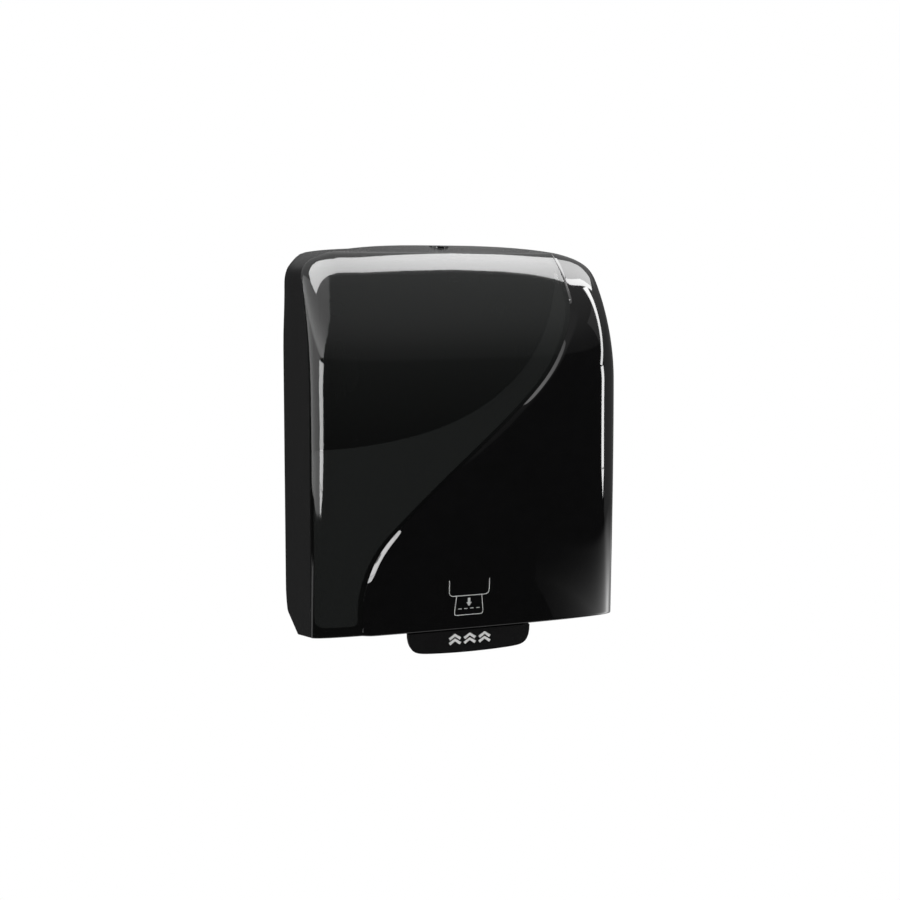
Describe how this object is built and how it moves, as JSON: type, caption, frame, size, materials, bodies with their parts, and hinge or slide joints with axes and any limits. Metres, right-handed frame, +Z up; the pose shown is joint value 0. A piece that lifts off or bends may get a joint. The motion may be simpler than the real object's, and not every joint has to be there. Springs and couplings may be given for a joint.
{
  "type": "autocut paper-towel dispenser",
  "caption": "Wall-mounted autocut paper-towel dispenser with a hinged black cover, smoked S-curve window, push lever, cutting drum and roll arms.",
  "frame": {"origin": "centre of the four wall-screw holes, on the wall plane", "axes": "+X to the right seen from the front, +Y into the wall, +Z up"},
  "size_m": [0.29, 0.207, 0.3845],
  "materials": {
    "housing_black": "fine moulded texture",
    "panel_black": "high gloss",
    "window_smoke": "smoked, glossy, partly frosted",
    "lever_black": "satin",
    "frame_dark": "satin",
    "mech_grey": "satin",
    "drum_grey": "satin",
    "gear_ivory": "satin",
    "knob_green": "satin",
    "steel": "ground",
    "rubber_black": "matt"
  },
  "bodies": {
    "housing": {"rear_housing": "housing_black", "cheek_left": "mech_grey", "cheek_right": "mech_grey", "chute": "mech_grey", "front_guide": "mech_grey", "cheek_screws": "steel", "hinge_pins": "steel", "arm_pins": "steel"},
    "lock": {"lock_barrel": "lever_black"},
    "cover": {"lid_frame": "frame_dark", "lid_panel": "panel_black", "window": "window_smoke", "lever_spring": "steel"},
    "lever": {"push_lever": "lever_black"},
    "drum": {"drum_shell": "drum_grey", "drum_axle": "steel", "drum_bands": "rubber_black", "hand_knob": "knob_green", "blade_pin": "steel"},
    "blade": {"blade_carrier": "drum_grey", "blade": "steel"},
    "pinion": {"feed_pinion": "gear_ivory"},
    "rocker": {"feed_rocker": "gear_ivory"},
    "pinch": {"pinch_roller": "rubber_black", "pinch_axle": "steel"},
    "arm_left": {"roll_arm_left": "mech_grey"},
    "arm_right": {"roll_arm_right": "mech_grey"},
    "hub_left": {"hub_left": "mech_grey"},
    "hub_right": {"hub_right": "mech_grey"}
  },
  "joints": [
    {"name": "cover_hinge", "type": "hinge", "parent": "housing", "child": "cover", "pos_m": [0, -0.176, -0.1785], "axis": [1, 0, 0], "range_deg": [0, 95]},
    {"name": "lever_push", "type": "hinge", "parent": "cover", "child": "lever", "pos_m": [0, -0.176, -0.132], "axis": [1, 0, 0], "range_deg": [0, 18], "stiffness_Nm_per_rad": 0.8, "springref_deg": -17.19, "deforming": ["lever_spring"]},
    {"name": "rocker_swing", "type": "hinge", "parent": "housing", "child": "rocker", "pos_m": [0, -0.14, -0.125], "axis": [1, 0, 0], "range_deg": [0, 16.2]},
    {"name": "pinion_turn", "type": "hinge", "parent": "housing", "child": "pinion", "pos_m": [0, -0.095, -0.125], "axis": [1, 0, 0], "range_deg": [-36, 0]},
    {"name": "drum_spin", "type": "hinge", "parent": "housing", "child": "drum", "pos_m": [0, -0.095, -0.125], "axis": [1, 0, 0], "continuous": true},
    {"name": "blade_swing", "type": "hinge", "parent": "drum", "child": "blade", "pos_m": [0, -0.07501, -0.11101], "axis": [1, 0, 0], "range_deg": [0, 46], "stiffness_Nm_per_rad": 0.06, "springref_deg": -20.05},
    {"name": "pinch_spin", "type": "hinge", "parent": "housing", "child": "pinch", "pos_m": [0, -0.11666, -0.0806], "axis": [1, 0, 0], "continuous": true},
    {"name": "lock_turn", "type": "hinge", "parent": "housing", "child": "lock", "pos_m": [0, -0.084, 0.15], "axis": [0, 0, 1], "range_deg": [0, 90]},
    {"name": "arm_left_swing", "type": "hinge", "parent": "housing", "child": "arm_left", "pos_m": [-0.124, -0.016, 0.05], "axis": [0, 0, -1], "range_deg": [0, 12], "stiffness_Nm_per_rad": 1.5, "springref_deg": -8.59},
    {"name": "arm_right_swing", "type": "hinge", "parent": "housing", "child": "arm_right", "pos_m": [0.124, -0.016, 0.05], "axis": [0, 0, 1], "range_deg": [0, 12], "stiffness_Nm_per_rad": 1.5, "springref_deg": -8.59},
    {"name": "hub_left_spin", "type": "hinge", "parent": "arm_left", "child": "hub_left", "pos_m": [-0.1, -0.1, 0.05], "axis": [1, 0, 0], "continuous": true},
    {"name": "hub_right_spin", "type": "hinge", "parent": "arm_right", "child": "hub_right", "pos_m": [0.1, -0.1, 0.05], "axis": [1, 0, 0], "continuous": true}
  ],
  "couplings": [
    {"joint": "rocker_swing", "follows": "lever_push", "ratio": 0.889},
    {"joint": "pinion_turn", "follows": "lever_push", "ratio": -1.9685},
    {"joint": "pinch_spin", "follows": "drum_spin", "ratio": -3.4545}
  ]
}
